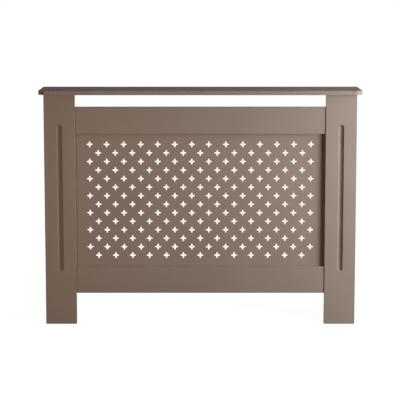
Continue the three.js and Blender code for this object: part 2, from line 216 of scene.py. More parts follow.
def rod(name, start, end, radius, steps=DRILL_STEPS):
    """A round bar between two points."""
    shape = bmesh.new()
    way = end - start
    put = Matrix.Translation((start + end) / 2) @ way.to_track_quat("Z", "Y").to_matrix().to_4x4()
    bmesh.ops.create_cone(
        shape, cap_ends=True, segments=steps, radius1=radius, radius2=radius, depth=way.length, matrix=put,
    )
    return working_object(name, shape)


def settle(worked):
    """Turns an object's modifiers into plain mesh."""
    evaluated = worked.evaluated_get(bpy.context.evaluated_depsgraph_get())
    mesh = bpy.data.meshes.new_from_object(evaluated)
    worked.modifiers.clear()
    worked.data = mesh


def cut(worked, cutters):
    """Takes the cutters out of a piece, and then out of the scene."""
    for cutter in cutters:
        boolean = worked.modifiers.new("cut", "BOOLEAN")
        boolean.operation = "DIFFERENCE"
        boolean.solver = "EXACT"
        boolean.object = cutter
    settle(worked)
    for cutter in cutters:
        bpy.data.objects.remove(cutter)


def soften_rims(worked, radius):
    """Rounds the sharp rims that a cutter left."""
    bevel = worked.modifiers.new("rims", "BEVEL")
    bevel.limit_method = "ANGLE"
    bevel.angle_limit = RIM_ANGLE
    bevel.width = radius
    bevel.segments = RIM_STEPS
    settle(worked)


def close_skin(worked):
    """Triangulates a cut piece and takes out the slivers of the cuts, so that its skin is closed."""
    shape = bmesh.new()
    shape.from_mesh(worked.data)
    bmesh.ops.triangulate(shape, faces=shape.faces)
    bmesh.ops.dissolve_degenerate(shape, dist=SLIVER, edges=shape.edges)
    shape.to_mesh(worked.data)
    shape.free()


def fixing_axis(node):
    """The two ends of a round fixing's axis, and its radius, from its CAD box."""
    low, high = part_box(node)
    size = high - low
    along = max(range(3), key=lambda axis: size[axis])
    centre = (low + high) / 2
    reach = Vector((0, 0, 0))
    reach[along] = size[along] / 2
    return centre - reach, centre + reach, min(size) / 2


def touches(node, worked_node):
    """Whether two CAD nodes' boxes meet."""
    (low_a, high_a), (low_b, high_b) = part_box(node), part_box(worked_node)
    return all(low_a[i] < high_b[i] and low_b[i] < high_a[i] for i in range(3))


def pin_bore(fixing, node):
    """The bore that a board has for a dowel, bolt or screw. A bolt's channel takes its collar too."""
    start, end, radius = fixing_axis(fixing)
    spare = (end - start).normalized() * DRILL_CLEARANCE
    bolt_in_its_channel = fixing.endswith("_bolt") and node.endswith(("_rail", "_side"))
    bore = BOLT_COLLAR_RADIUS + DRILL_CLEARANCE if bolt_in_its_channel else radius
    return rod("bore", start - spare, end + spare, bore)


def cam_bore(fixing):
    """The blind bore that a cam turns in. It opens in the face that the cam's joint lies in."""
    joint = next(j for j in frame["joints"] if j["child"] == f"{fixing}_body")
    out = Vector(joint["axis"])
    face = Vector(joint["pos_m"])
    low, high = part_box(fixing)
    length = abs((high - low).dot(out))
    radius = max(high - low) / 2 + DRILL_CLEARANCE
    bottom = face - out * (length + DRILL_CLEARANCE)
    return rod("cam bore", bottom, face + out * DRILL_OVERRUN, radius)


def drill(worked, node):
    """Bores a board for every dowel, bolt, cam and screw that goes into it."""
    cutters = []
    for fixing in frame["nodes"]:
        if fixing == node or not touches(fixing, node):
            continue
        if fixing.endswith(("_dowel", "_bolt", "_screw")):
            cutters.append(pin_bore(fixing, node))
        if fixing.endswith("_cam"):
            cutters.append(cam_bore(fixing))
    cut(worked, cutters)


def paint_board(worked, node):
    """Shades a finished board, paints it and puts it in its CAD node's place."""
    close_skin(worked)
    worked.data.polygons.foreach_set("use_smooth", [True] * len(worked.data.polygons))
    worked.data.set_sharp_from_angle(angle=SMOOTH_ANGLE)
    weighted = worked.modifiers.new("flat faces stay flat", "WEIGHTED_NORMAL")
    weighted.keep_sharp = True
    settle(worked)
    worked.data.materials.clear()
    worked.data.materials.append(PAINT)
    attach(worked, "cabinet")
    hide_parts(node)


def upright(along, up, deep):
    return Vector((along, deep, up))


def rectangle(low_x, high_x, low_z, high_z):
    return [(low_x, low_z), (high_x, low_z), (high_x, high_z), (low_x, high_z)]


def flute_cutter(x, face_y, low_z, high_z):
    """The path of the round-nosed bit: a bar with ball ends, sunk in the post's face."""
    above_face = FLUTE_RADIUS - FLUTE_DEPTH
    end_reach = math.sqrt(FLUTE_RADIUS**2 - above_face**2)
    centre_low = low_z + end_reach
    centre_high = high_z - end_reach
    shape = bmesh.new()
    bmesh.ops.create_uvsphere(
        shape, u_segments=FLUTE_STEPS, v_segments=FLUTE_STEPS // 2, radius=FLUTE_RADIUS,
    )
    for corner in shape.verts:
        corner.co += Vector((x, face_y - above_face, centre_high if corner.co.z > 0 else centre_low))
    return working_object("flute path", shape)


for hand in ("left", "right"):
    node = f"{hand}_post"
    low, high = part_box(node)
    post = board(f"{hand}_post_board", rectangle(low.x, high.x, low.z, high.z), low.y, high.y, upright)
    middle = (low.x + high.x) / 2
    cut(post, [flute_cutter(middle, low.y, low.z + FLUTE_FROM_FLOOR, high.z - FLUTE_FROM_SHELF)])
    soften_rims(post, FLUTE_RIM_RADIUS)
    drill(post, node)
    paint_board(post, node)


# ---- Sides ----
# Boards of 15 mm MDF glued and dowelled behind the posts. The foot of each rear edge is cut out, so
# that the cabinet stands flat against the wall over the skirting board.

SKIRTING_DEPTH = 0.020
SKIRTING_HEIGHT = 0.120


def sideways(along, up, deep):
    return Vector((deep, along, up))


for hand in ("left", "right"):
    node = f"{hand}_side"
    low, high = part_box(node)
    outline = [
        (low.y, low.z),
        (high.y - SKIRTING_DEPTH, low.z),
        (high.y - SKIRTING_DEPTH, low.z + SKIRTING_HEIGHT),
        (high.y, low.z + SKIRTING_HEIGHT),
        (high.y, high.z),
        (low.y, high.z),
    ]
    side = board(f"{hand}_side_board", outline, low.x, high.x, sideways)
    drill(side, node)
    paint_board(side, node)


# ---- Rails ----
# Two boards of 15 mm MDF between the posts, set a little behind their faces. A cam in each end draws
# them up, and a dowel keeps them from turning. Each joint is open by a hair, and the rail's front edge
# is rounder there, so that it shows as a fine dark line.

RAIL_END_RADIUS = 0.0022
RAIL_JOINT_GAP = 0.0008
SAME_PLACE = 0.0003


def front_ends(front):
    """A test for the edges of a rail that stand upright at its front, against the posts."""
    def is_front_end(edge):
        a, b = (end.co for end in edge.verts)
        return abs(a.x - b.x) < SAME_PLACE and max(a.y, b.y) < front + SAME_PLACE

    return is_front_end


for rail in ("top", "bottom"):
    node = f"{rail}_rail"
    low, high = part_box(node)
    outline = rectangle(low.x + RAIL_JOINT_GAP, high.x - RAIL_JOINT_GAP, low.z, high.z)
    bar = board(
        f"{rail}_rail_board", outline, low.y, high.y, upright, front_ends(low.y), RAIL_END_RADIUS,
    )
    drill(bar, node)
    paint_board(bar, node)


# ---- Grille panel ----
# One sheet of 3 mm MDF screwed to the backs of the rails and pierced with staggered rows of crosses.
# Each cross has round tips and wide fillets between its arms, and its front rim is softened by paint.

CROSS_SPAN = 0.0214
CROSS_TIP_RADIUS = 0.00233
CROSS_FILLET_RADIUS = 0.0042
CROSS_TIP_STEPS = 8
CROSS_FILLET_STEPS = 6
CROSS_PITCH = 0.059
ROW_PITCH = 0.030
CROSSES_IN_LONG_ROW = 14
ROWS = 14
RIM = 0.0003
SCREW_COLUMNS = 4
SCREW_HOLE_RADIUS = 0.00205
SCREW_HOLE_STEPS = 16
WELD = 0.00001


def geometry_tree(name, inputs):
    """A Geometry Nodes tree with its named inputs. Returns it, its input node, and its output node."""
    tree = bpy.data.node_groups.new(name, "GeometryNodeTree")
    tree.interface.new_socket("Geometry", in_out="INPUT", socket_type="NodeSocketGeometry")
    tree.interface.new_socket("Geometry", in_out="OUTPUT", socket_type="NodeSocketGeometry")
    for label, kind in inputs.items():
        tree.interface.new_socket(label, in_out="INPUT", socket_type=f"NodeSocket{kind}")
    return tree, tree.nodes.new("NodeGroupInput"), tree.nodes.new("NodeGroupOutput")


def run_tree(worked, tree, values):
    """Runs a tree on an object with the given inputs, and keeps the result as plain mesh."""
    modifier = worked.modifiers.new(tree.name, "NODES")
    modifier.node_group = tree
    for socket in tree.interface.items_tree:
        if socket.in_out == "INPUT" and socket.name in values:
            modifier[socket.identifier] = values[socket.name]
    settle(worked)


def maths(tree, operation, *values):
    node = add_node(tree, "ShaderNodeMath", dict(enumerate(values)), operation=operation)
    return node.outputs["Value"]


def vector(tree, **parts):
    return add_node(tree, "ShaderNodeCombineXYZ", parts).outputs["Vector"]


def vector_maths(tree, operation, inputs):
    return add_node(tree, "ShaderNodeVectorMath", inputs, operation=operation).outputs["Vector"]


def moved(tree, geometry, **how):
    return add_node(tree, "GeometryNodeTransform", {"Geometry": geometry, **how}).outputs["Geometry"]


def joined(tree, *geometries):
    node = tree.nodes.new("GeometryNodeJoinGeometry")
    for geometry in reversed(geometries):
        tree.links.new(geometry, node.inputs["Geometry"])
    return node.outputs["Geometry"]


def placed(tree, points, instance, **how):
    return add_node(tree, "GeometryNodeInstanceOnPoints", {
        "Points": points, "Instance": instance, **how,
    }).outputs["Instances"]


def welded(tree, geometry):
    node = add_node(tree, "GeometryNodeMergeByDistance", {"Geometry": geometry, "Distance": WELD})
    return node.outputs["Geometry"]


def realized(tree, geometry):
    return add_node(tree, "GeometryNodeRealizeInstances", {"Geometry": geometry}).outputs["Geometry"]


def end_tree(tree, geometry, finish, result):
    """Ends a tree with real geometry in place of instances, and with its material."""
    dressed = add_node(tree, "GeometryNodeSetMaterial", {
        "Geometry": realized(tree, geometry), "Material": finish,
    })
    tree.links.new(dressed.outputs["Geometry"], result.inputs["Geometry"])


def cross_outline(tree, span, tip_radius, fillet_radius, grow):
    """One cross as a closed ring of edges, flat on XY. grow moves its whole outline outwards."""
    tip_centre = maths(tree, "SUBTRACT", maths(tree, "MULTIPLY", span, 0.5), tip_radius)
    fillet_centre = maths(tree, "ADD", tip_radius, fillet_radius)
    half_width = maths(tree, "ADD", tip_radius, grow)
    tip = add_node(tree, "GeometryNodeCurveArc", {
        "Resolution": CROSS_TIP_STEPS,
        "Radius": half_width,
        "Start Angle": -math.pi / 2,
        "Sweep Angle": math.pi,
    })
    fillet = add_node(tree, "GeometryNodeCurveArc", {
        "Resolution": CROSS_FILLET_STEPS,
        "Radius": maths(tree, "SUBTRACT", fillet_radius, grow),
        "Start Angle": -math.pi / 2,
        "Sweep Angle": -math.pi / 2,
    })
    sides = []
    for side in (half_width, maths(tree, "MULTIPLY", half_width, -1)):
        line = add_node(tree, "GeometryNodeCurvePrimitiveLine", {
            "Start": vector(tree, X=fillet_centre, Y=side), "End": vector(tree, X=tip_centre, Y=side),
        })
        sides.append(line.outputs["Curve"])
    arm = joined(
        tree,
        moved(tree, tip.outputs["Curve"], Translation=vector(tree, X=tip_centre)),
        moved(tree, fillet.outputs["Curve"], Translation=vector(tree, X=fillet_centre, Y=fillet_centre)),
        *sides,
    )
    quarters = [moved(tree, arm, Rotation=(0, 0, quarter * math.pi / 2)) for quarter in range(4)]
    edges = add_node(tree, "GeometryNodeCurveToMesh", {"Curve": joined(tree, *quarters)})
    return welded(tree, edges.outputs["Mesh"])


def filled(tree, edges):
    """The flat face inside rings of edges, with the inner rings left open."""
    rings = add_node(tree, "GeometryNodeMeshToCurve", {"Mesh": edges})
    return add_node(tree, "GeometryNodeFillCurve", {"Curve": rings.outputs["Curve"]}).outputs["Mesh"]


def pierced_panel_tree():
    """Grille panel from its sizes. It is drawn flat on XY, face up, and stood up at the end."""
    tree, given, result = geometry_tree("pierced panel", {
        "Width": "Float", "Height": "Float", "Thickness": "Float", "Rim": "Float",
        "Cross Span": "Float", "Tip Radius": "Float", "Fillet Radius": "Float",
        "Pitch": "Float", "Row Pitch": "Float",
        "Rows": "Int", "Long Row": "Int",
        "Screw Columns": "Int", "Screw Width": "Float", "Screw Height": "Float", "Screw Hole": "Float",
        "Centre": "Vector", "Finish": "Material",
    })
    size = given.outputs
    cross_sizes = (size["Cross Span"], size["Tip Radius"], size["Fillet Radius"])
    front = cross_outline(tree, *cross_sizes, size["Rim"])
    wall = cross_outline(tree, *cross_sizes, 0.0)

    # Each point of the rim remembers the way to the wall behind it.
    place = tree.nodes.new("GeometryNodeInputPosition").outputs["Position"]
    index = tree.nodes.new("GeometryNodeInputIndex").outputs["Index"]
    wall_point = add_node(tree, "GeometryNodeSampleIndex", {
        "Geometry": wall, "Value": place, "Index": index,
    }, data_type="FLOAT_VECTOR").outputs["Value"]
    inward = vector_maths(tree, "SUBTRACT", {0: wall_point, 1: place})

    def remembering(edges, way):
        return add_node(tree, "GeometryNodeStoreNamedAttribute", {
            "Geometry": edges, "Name": "to_wall", "Value": way,
        }, data_type="FLOAT_VECTOR", domain="POINT").outputs["Geometry"]

    cross = remembering(front, inward)
    half_rows = maths(tree, "DIVIDE", size["Rows"], 2)
    rows_apart = maths(tree, "MULTIPLY", size["Row Pitch"], 2)
    rows_height = maths(tree, "MULTIPLY", maths(tree, "SUBTRACT", half_rows, 1), rows_apart)
    half_step = maths(tree, "DIVIDE", size["Row Pitch"], 2)
    rings = []
    for count, lift in (
        (size["Long Row"], half_step),
        (maths(tree, "SUBTRACT", size["Long Row"], 1), maths(tree, "MULTIPLY", half_step, -1)),
    ):
        row_width = maths(tree, "MULTIPLY", maths(tree, "SUBTRACT", count, 1), size["Pitch"])
        grid = add_node(tree, "GeometryNodeMeshGrid", {
            "Size X": row_width, "Size Y": rows_height, "Vertices X": count, "Vertices Y": half_rows,
        })
        spots = moved(tree, grid.outputs["Mesh"], Translation=vector(tree, Y=lift))
        rings.append(placed(tree, spots, cross))

    # Screw holes, plain and square-edged.
    hole = add_node(tree, "GeometryNodeMeshCircle", {
        "Vertices": SCREW_HOLE_STEPS, "Radius": size["Screw Hole"],
    }, fill_type="NONE").outputs["Mesh"]
    screw_grid = add_node(tree, "GeometryNodeMeshGrid", {
        "Size X": size["Screw Width"],
        "Size Y": size["Screw Height"],
        "Vertices X": size["Screw Columns"],
        "Vertices Y": 2,
    }).outputs["Mesh"]
    rings.append(placed(tree, screw_grid, remembering(hole, (0.0, 0.0, 0.0))))

    # The sheet's own edge, drawn in by the rim at the front.
    twice_rim = maths(tree, "MULTIPLY", size["Rim"], 2)
    edge = add_node(tree, "GeometryNodeCurvePrimitiveQuadrilateral", {
        "Width": maths(tree, "SUBTRACT", size["Width"], twice_rim),
        "Height": maths(tree, "SUBTRACT", size["Height"], twice_rim),
    })
    edge_ring = add_node(tree, "GeometryNodeCurveToMesh", {
        "Curve": edge.outputs["Curve"],
    }).outputs["Mesh"]
    side = vector_maths(tree, "SIGN", {0: place})
    outward = vector_maths(tree, "SCALE", {0: side, "Scale": size["Rim"]})
    rings.append(remembering(edge_ring, outward))

    # The rings drop by the rim while they draw in to the wall, and then to the back of the sheet.
    all_rings = realized(tree, joined(tree, *rings))
    rim_drop = maths(tree, "MULTIPLY", size["Rim"], -1)
    wall_drop = maths(tree, "SUBTRACT", size["Rim"], size["Thickness"])
    to_wall = add_node(
        tree, "GeometryNodeInputNamedAttribute", {"Name": "to_wall"}, data_type="FLOAT_VECTOR",
    ).outputs["Attribute"]
    lip = add_node(tree, "GeometryNodeExtrudeMesh", {
        "Mesh": all_rings, "Offset": vector(tree, Z=rim_drop), "Offset Scale": 1.0,
    }, mode="EDGES")
    drawn_in = add_node(tree, "GeometryNodeSetPosition", {
        "Geometry": lip.outputs["Mesh"], "Selection": lip.outputs["Top"], "Offset": to_wall,
    })
    walls = add_node(tree, "GeometryNodeExtrudeMesh", {
        "Mesh": drawn_in.outputs["Geometry"], "Selection": lip.outputs["Top"],
        "Offset": vector(tree, Z=wall_drop), "Offset Scale": 1.0,
    }, mode="EDGES")
    back_edges = add_node(tree, "GeometryNodeSeparateGeometry", {
        "Geometry": walls.outputs["Mesh"], "Selection": walls.outputs["Top"],
    }, domain="EDGE").outputs["Selection"]
    drop = maths(tree, "MULTIPLY", size["Thickness"], -1)
    whole = joined(
        tree,
        walls.outputs["Mesh"],
        filled(tree, all_rings),
        moved(tree, filled(tree, back_edges), Translation=vector(tree, Z=drop)),
    )
    stood_up = moved(tree, welded(tree, whole), Translation=size["Centre"], Rotation=(math.pi / 2, 0, 0))
    end_tree(tree, stood_up, size["Finish"], result)
    return tree


def middle_of(node):
    low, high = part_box(node)
    return (low + high) / 2


panel_low, panel_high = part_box("grille_panel")
window_low, window_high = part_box("bottom_rail")[1].z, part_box("top_rail")[0].z
first_screw = middle_of("grille_top_1_screw")
last_screw = middle_of("grille_bottom_4_screw")
grille = working_object("pierced_grille_panel", bmesh.new())
run_tree(grille, pierced_panel_tree(), {
    "Width": panel_high.x - panel_low.x,
    "Height": panel_high.z - panel_low.z,
    "Thickness": panel_high.y - panel_low.y,
    "Rim": RIM,
    "Cross Span": CROSS_SPAN,
    "Tip Radius": CROSS_TIP_RADIUS,
    "Fillet Radius": CROSS_FILLET_RADIUS,
    "Pitch": CROSS_PITCH,
    "Row Pitch": ROW_PITCH,
    "Rows": ROWS,
    "Long Row": CROSSES_IN_LONG_ROW,
    "Screw Columns": SCREW_COLUMNS,
    "Screw Width": last_screw.x - first_screw.x,
    "Screw Height": first_screw.z - last_screw.z,
    "Screw Hole": SCREW_HOLE_RADIUS,
    "Centre": (0, panel_low.y, (window_low + window_high) / 2),
    "Finish": PAINT,
})
skin = bmesh.new()
skin.from_mesh(grille.data)
bmesh.ops.recalc_face_normals(skin, faces=skin.faces)
skin.to_mesh(grille.data)
skin.free()
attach(grille, "cabinet")
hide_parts("grille_panel")


# ---- Shelf ----
# A board of 15 mm MDF on top, dowelled and cammed to the sides and posts. It stands out past them all
# round the front, and its two front corners are cut off at 45 degrees.

SHELF_CORNER_CUT = 0.022


def flat(along, up, deep):
    return Vector((along, up, deep))


low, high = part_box("top_shelf")
shelf_outline = [
    (high.x, high.y),
    (low.x, high.y),
    (low.x, low.y + SHELF_CORNER_CUT),
    (low.x + SHELF_CORNER_CUT, low.y),
    (high.x - SHELF_CORNER_CUT, low.y),
    (high.x, low.y + SHELF_CORNER_CUT),
]
shelf = board("shelf_board", shelf_outline, low.z, high.z, flat)
drill(shelf, "top_shelf")
paint_board(shelf, "top_shelf")


# ---- Dowels ----
# Beech dowels of 8 mm in the joints. They are pressed with fine straight grooves that let the glue
# spread, and both their ends are chamfered.

DOWEL_GROOVES = 20
POINTS_PER_GROOVE = 4
DOWEL_GROOVE_DEPTH = 0.0002
DOWEL_CHAMFER = 0.0010
DOWEL_END_SHARE = 0.82
BEECH_COLOUR = (0.560, 0.375, 0.215, 1)
BEECH_DARK = (0.420, 0.255, 0.135, 1)
BEECH_ROUGHNESS = 0.65
BEECH_STREAKS = 900.0
BEECH_STREAK_HEIGHT = 0.0001
BEECH_RAYS = 3500.0
GRAIN_STRETCH = 0.08
GRAINS = {"crosswise": Vector((1, 0, 0)), "deep": Vector((0, 1, 0)), "upright": Vector((0, 0, 1))}


def beech_wood(direction, grain):
    """Bare beech with its grain along an axis: soft streaks, and the short dark flecks of its rays."""
    material, output = new_material(f"bare beech, {direction} grain")
    tree = material.node_tree
    place = add_node(tree, "ShaderNodeTexCoord").outputs["Object"]
    stretch = tuple(GRAIN_STRETCH if part else 1.0 for part in grain)
    stretched = add_node(tree, "ShaderNodeMapping", {"Vector": place, "Scale": stretch}).outputs["Vector"]
    streaks = noise(tree, stretched, BEECH_STREAKS, 3.0)
    rays = noise(tree, stretched, BEECH_RAYS, 1.0)
    # Sockets 6 and 7 are the two colours that a Mix node goes between.
    flecked = add_node(tree, "ShaderNodeMix", {
        "Factor": ramp(tree, rays, [(0.60, grey(0)), (0.70, grey(0.6))]),
        6: ramp(tree, streaks, [(0.30, BEECH_DARK), (0.62, BEECH_COLOUR)]),
        7: BEECH_DARK,
    }, data_type="RGBA")
    surface = add_node(tree, "ShaderNodeBsdfPrincipled", {
        "Base Color": flecked.outputs[2],
        "Roughness": BEECH_ROUGHNESS,
        "Normal": bump(tree, streaks, 0.3, BEECH_STREAK_HEIGHT),
    })
    tree.links.new(surface.outputs["BSDF"], output.inputs["Surface"])
    return material


def grooved_dowel_tree():
    """A dowel on each edge of the mesh it is given."""
    tree, given, result = geometry_tree("grooved dowels", {
        "Radius": "Float", "Grooves": "Int", "Groove Depth": "Float",
        "Chamfer": "Float", "End Share": "Float", "Finish": "Material",
    })
    size = given.outputs
    lines = add_node(tree, "GeometryNodeMeshToCurve", {"Mesh": size["Geometry"]}).outputs["Curve"]
    rows = add_node(tree, "GeometryNodeResampleCurve", {
        "Curve": lines, "Length": size["Chamfer"],
    }, mode="LENGTH").outputs["Curve"]
    spline = tree.nodes.new("GeometryNodeSplineParameter").outputs
    whole = tree.nodes.new("GeometryNodeSplineLength").outputs["Length"]
    to_end = maths(tree, "MINIMUM", spline["Length"], maths(tree, "SUBTRACT", whole, spline["Length"]))
    narrowing = add_node(tree, "ShaderNodeMapRange", {
        "Value": to_end, "From Max": size["Chamfer"], "To Min": size["End Share"], "To Max": 1.0,
    }).outputs["Result"]

    # One point of the profile in each groove is pressed in, and the points between stay out.
    points = maths(tree, "MULTIPLY", size["Grooves"], POINTS_PER_GROOVE)
    ring = add_node(tree, "GeometryNodeCurvePrimitiveCircle", {
        "Resolution": points, "Radius": size["Radius"],
    }).outputs["Curve"]
    index = tree.nodes.new("GeometryNodeInputIndex").outputs["Index"]
    pressed = maths(tree, "COMPARE", maths(tree, "MODULO", index, POINTS_PER_GROOVE), 0.0, 0.1)
    share = maths(tree, "DIVIDE", size["Groove Depth"], size["Radius"])
    place = tree.nodes.new("GeometryNodeInputPosition").outputs["Position"]
    inward = vector_maths(tree, "SCALE", {0: place, "Scale": maths(tree, "MULTIPLY", share, -1)})
    grooved = add_node(tree, "GeometryNodeSetPosition", {
        "Geometry": ring, "Selection": pressed, "Offset": inward,
    })
    dowels = add_node(tree, "GeometryNodeCurveToMesh", {
        "Curve": rows,
        "Profile Curve": grooved.outputs["Geometry"],
        "Scale": narrowing,
        "Fill Caps": True,
    })
    end_tree(tree, dowels.outputs["Mesh"], size["Finish"], result)
    return tree


DOWELS = grooved_dowel_tree()
every_dowel = [node for node in frame["nodes"] if node.endswith("_dowel")]
for direction, grain in GRAINS.items():
    chosen = []
    for node in every_dowel:
        start, end, radius = fixing_axis(node)
        if abs((end - start).dot(grain)) > radius:
            chosen.append(node)
    lines = bmesh.new()
    for node in chosen:
        start, end, radius = fixing_axis(node)
        lines.edges.new((lines.verts.new(start), lines.verts.new(end)))
    dowels = working_object(f"{direction}_dowels", lines)
    run_tree(dowels, DOWELS, {
        "Radius": radius,
        "Grooves": DOWEL_GROOVES,
        "Groove Depth": DOWEL_GROOVE_DEPTH,
        "Chamfer": DOWEL_CHAMFER,
        "End Share": DOWEL_END_SHARE,
        "Finish": beech_wood(direction, grain),
    })
    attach(dowels, "cabinet")
    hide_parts(*chosen)


# ---- Cams ----
# Die-cast zinc drums with an off-centre cavity that is open below. Half a turn of the cross recess in
# the cap draws the bolt's head in. The mouth lets the head in, and the slot lets its neck pass.

CAM_STEPS = 48
CAM_CAP = 0.0027
CAM_CAVITY_RADIUS = 0.0049
CAM_THROW = 0.0009
FIXING_EDGE = 0.0004
BOLT_DEPTH_IN_CAM = 0.0075
SLOT_HALF = 0.0023
MOUTH_RADIUS = 0.0033
RECESS_HALF_LENGTH = 0.0040
RECESS_HALF_WIDTH = 0.0008
RECESS_DEPTH = 0.0016
RECESS_FLOOR_SHARE = 0.8
ARROW_TIP = 0.0064
ARROW_BACK = 0.0049
ARROW_HALF_WIDTH = 0.0011
ARROW_DEPTH = 0.0004
CAST_COLOUR = (0.300, 0.308, 0.322, 1)
CAST_COLOUR_PALE = (0.365, 0.374, 0.388, 1)
CAST_ROUGHNESS = (0.42, 0.58)
CAST_PATCHES = 260.0
CAST_GRAIN = 2600.0
CAST_GRAIN_HEIGHT = 0.00006


def cast_zinc():
    """Dull die-cast zinc: a grainy skin, a little uneven in colour."""
    material, output = new_material("die-cast zinc")
    tree = material.node_tree
    place = add_node(tree, "ShaderNodeTexCoord").outputs["Object"]
    patches = noise(tree, place, CAST_PATCHES, 4.0)
    grain = noise(tree, place, CAST_GRAIN, 2.0)
    metal = add_node(tree, "ShaderNodeBsdfPrincipled", {
        "Base Color": ramp(tree, patches, [(0.35, CAST_COLOUR), (0.70, CAST_COLOUR_PALE)]),
        "Metallic": 0.9,
        "Roughness": roughness_spots(tree, grain, CAST_ROUGHNESS),
        "Normal": bump(tree, grain, 0.35, CAST_GRAIN_HEIGHT),
    })
    tree.links.new(metal.outputs["BSDF"], output.inputs["Surface"])
    return material


def turned(name, rings, steps=CAM_STEPS):
    """A piece turned along Z, from its rings.

    Each ring is (radius, z), or (core radius, z, ridge height, pitch) in a thread.
    """
    # A thread's ridge rises once in each turn and pitch, and its foot is half a pitch wide.
    shape = bmesh.new()
    rows = []
    for core, z, *thread in rings:
        ridge, pitch = thread or (0.0, 1.0)
        row = []
        for i in range(steps):
            angle = 2 * math.pi * i / steps
            phase = (z / pitch - i / steps) % 1.0
            radius = core + ridge * max(0.0, 1 - abs(4 * phase - 2))
            row.append(shape.verts.new((radius * math.cos(angle), radius * math.sin(angle), z)))
        rows.append(row)
    for below, above in zip(rows, rows[1:]):
        for i in range(steps):
            shape.faces.new((below[i - 1], below[i], above[i], above[i - 1]))
    shape.faces.new(rows[0])
    shape.faces.new(rows[-1])
    return working_object(name, shape)


def prism(name, outline, low, high, top_share=1.0):
    """A straight-sided cutter along Z. top_share makes its low end smaller, as a draft."""
    shape = bmesh.new()
    bottom = [shape.verts.new((x * top_share, y * top_share, low)) for x, y in outline]
    top = [shape.verts.new((x, y, high)) for x, y in outline]
    shape.faces.new(bottom)
    shape.faces.new(top)
    for i in range(len(outline)):
        shape.faces.new((bottom[i - 1], bottom[i], top[i], top[i - 1]))
    return working_object(name, shape)


def cross_recess(half_length, half_width, top, depth):
    """Two drafted blades that cut a driver's cross into a face at the height top, down by the depth.

    A depth below zero cuts upwards.
    """
    blades = []
    for long, short in ((half_length, half_width), (half_width, half_length)):
        outline = [(-long, -short), (long, -short), (long, short), (-long, short)]
        blades.append(prism("recess blade", outline, top - depth, top + depth / 4, RECESS_FLOOR_SHARE))
    return blades


def dress_fixing(worked, material):
    """Smooth shading with crisp rims, and one material, for a small turned or cast piece."""
    close_skin(worked)
    worked.data.polygons.foreach_set("use_smooth", [True] * len(worked.data.polygons))
    worked.data.set_sharp_from_angle(angle=SMOOTH_ANGLE)
    worked.data.materials.clear()
    worked.data.materials.append(material)


low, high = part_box("top_rail_left_cam")
cam_radius, cam_length = (high.x - low.x) / 2, high.y - low.y
drum = turned("cam drum", [
    (cam_radius - FIXING_EDGE, -cam_length),
    (cam_radius, FIXING_EDGE - cam_length),
    (cam_radius, -FIXING_EDGE),
    (cam_radius - FIXING_EDGE, 0),
])
reach = cam_radius + DRILL_OVERRUN
slot_side = [(-reach, -reach), (reach, -reach), (reach, SLOT_HALF), (-reach, SLOT_HALF)]
arrow = [(ARROW_TIP, 0), (ARROW_BACK, ARROW_HALF_WIDTH), (ARROW_BACK, -ARROW_HALF_WIDTH)]
cavity_open = Vector((-CAM_THROW, 0, -cam_length - DRILL_OVERRUN))
cavity_end = Vector((-CAM_THROW, 0, -CAM_CAP))
at_bolt = Vector((0, 0, -BOLT_DEPTH_IN_CAM))
cut(drum, [
    rod("cavity", cavity_open, cavity_end, CAM_CAVITY_RADIUS, CAM_STEPS),
    prism("neck slot", slot_side, -BOLT_DEPTH_IN_CAM - SLOT_HALF, SLOT_HALF - BOLT_DEPTH_IN_CAM),
    rod("mouth", at_bolt, at_bolt + Vector((-reach, 0, 0)), MOUTH_RADIUS),
    *cross_recess(RECESS_HALF_LENGTH, RECESS_HALF_WIDTH, 0, RECESS_DEPTH),
    prism("arrow", arrow, -ARROW_DEPTH, ARROW_DEPTH),
])
dress_fixing(drum, cast_zinc())
for joint in (j for j in frame["joints"] if j["child"].endswith("_cam_body")):
    node = joint["child"].removesuffix("_body")
    face, out = Vector(joint["pos_m"]), Vector(joint["axis"])
    along = Vector((math.copysign(1, face.x), 0, 0)) if "rail" in node else Vector((0, 0, 1))
    stand = Matrix((along, out.cross(along), out)).transposed().to_4x4()
    cam = bpy.data.objects.new(f"{node}_drum", drum.data.copy())
    cam.data.transform(Matrix.Translation(face) @ stand)
    bpy.context.scene.collection.objects.link(cam)
    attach(cam, joint["child"])
    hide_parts(node)
bpy.data.objects.remove(drum)


# ---- Cam bolts ----
# Zinc-plated bolts, screwed into the posts' edges and the underside of the shelf up to their collars.
# A coned head behind a thin neck is what the cam pulls on.

BOLT_HEAD_RADIUS = 0.0030
BOLT_HEAD_LENGTH = 0.0030
BOLT_HEAD_CONE = 0.0010
BOLT_NECK_RADIUS = 0.0020
BOLT_COLLAR_LENGTH = 0.0015
BOLT_THREAD_LENGTH = 0.0113
BOLT_CORE_RADIUS = 0.0020
BOLT_RIDGE = 0.0009
BOLT_PITCH = 0.0022
BOLT_TIP_LENGTH = 0.0015
BOLT_TIP_RADIUS = 0.0005
DRIVE_HALF_LENGTH = 0.0020
DRIVE_HALF_WIDTH = 0.0004
ROWS_PER_PITCH = 8
FIXING_STEPS = 32
STEEL_COLOUR = (0.465, 0.477, 0.492, 1)
STEEL_COLOUR_WARM = (0.520, 0.520, 0.500, 1)
STEEL_ROUGHNESS = (0.24, 0.38)
STEEL_PATCHES = 180.0
STEEL_SCRATCHES = 4200.0
STEEL_SCRATCH_DEPTH = 0.00002


